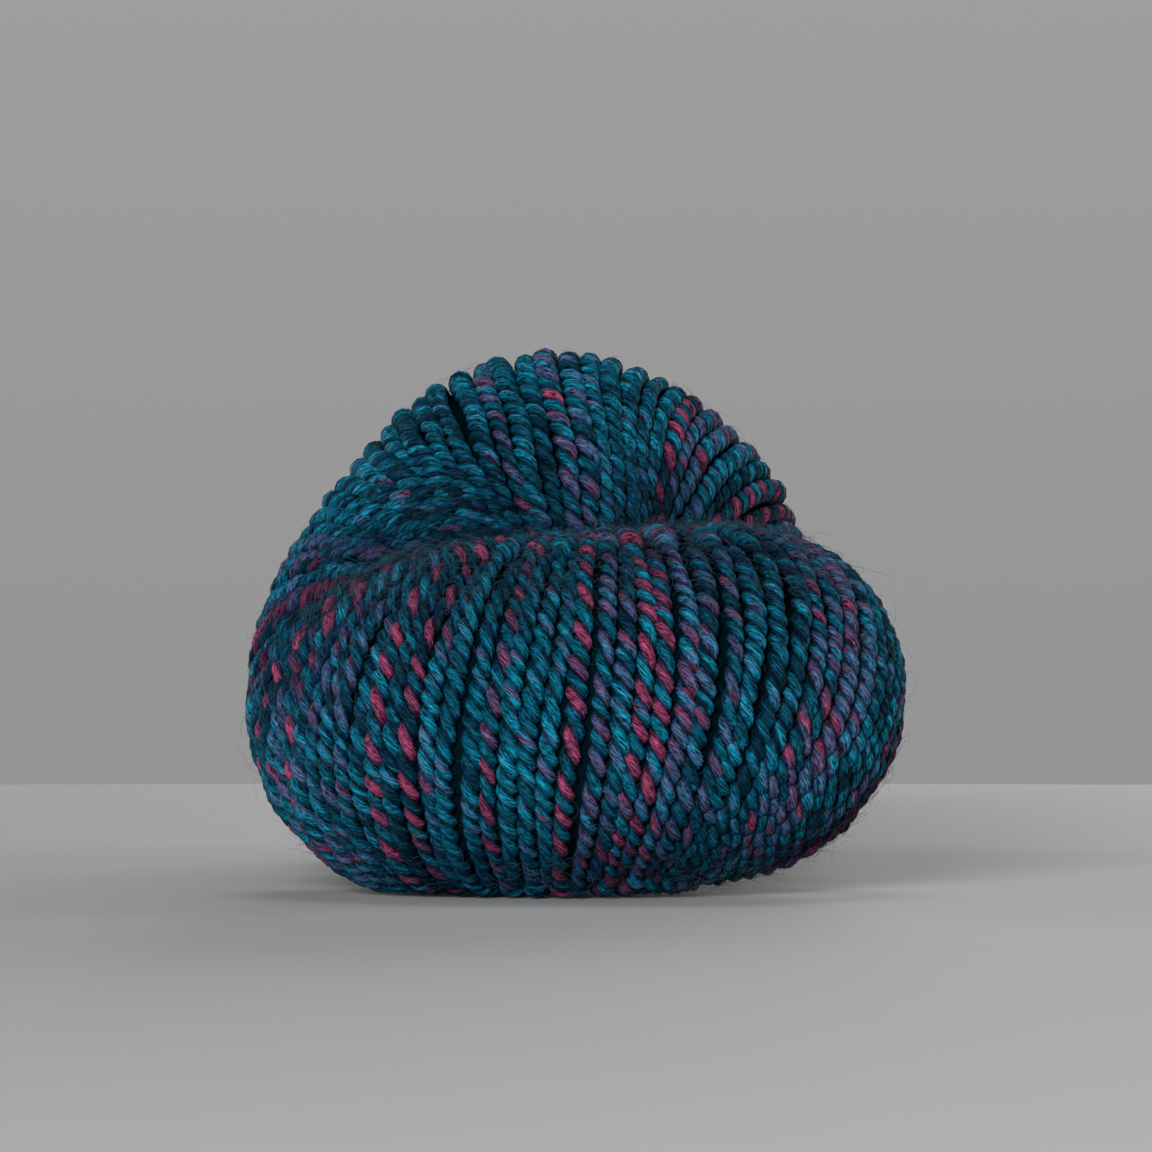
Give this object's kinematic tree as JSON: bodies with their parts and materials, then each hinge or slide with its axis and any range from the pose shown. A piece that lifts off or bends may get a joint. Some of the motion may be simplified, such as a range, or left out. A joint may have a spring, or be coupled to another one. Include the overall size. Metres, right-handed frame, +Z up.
{
  "type": "twisted yarn hank",
  "caption": "Hank of thick plied wool yarn, folded in half, twisted on itself and tucked into its own loop, lying on its side.",
  "frame": {"origin": "centre of the hank's box, on the surface that it rests on", "axes": "+Y along the hank from its fold to its tucked knob, +Z up, +X to the right seen from the fold end"},
  "size_m": [0.0744, 0.229, 0.0609],
  "materials": {
    "yarn": "matt, softly fuzzy plied wool, teal with slate and magenta plies"
  },
  "bodies": {
    "root": {"hank": "yarn"}
  },
  "joints": []
}
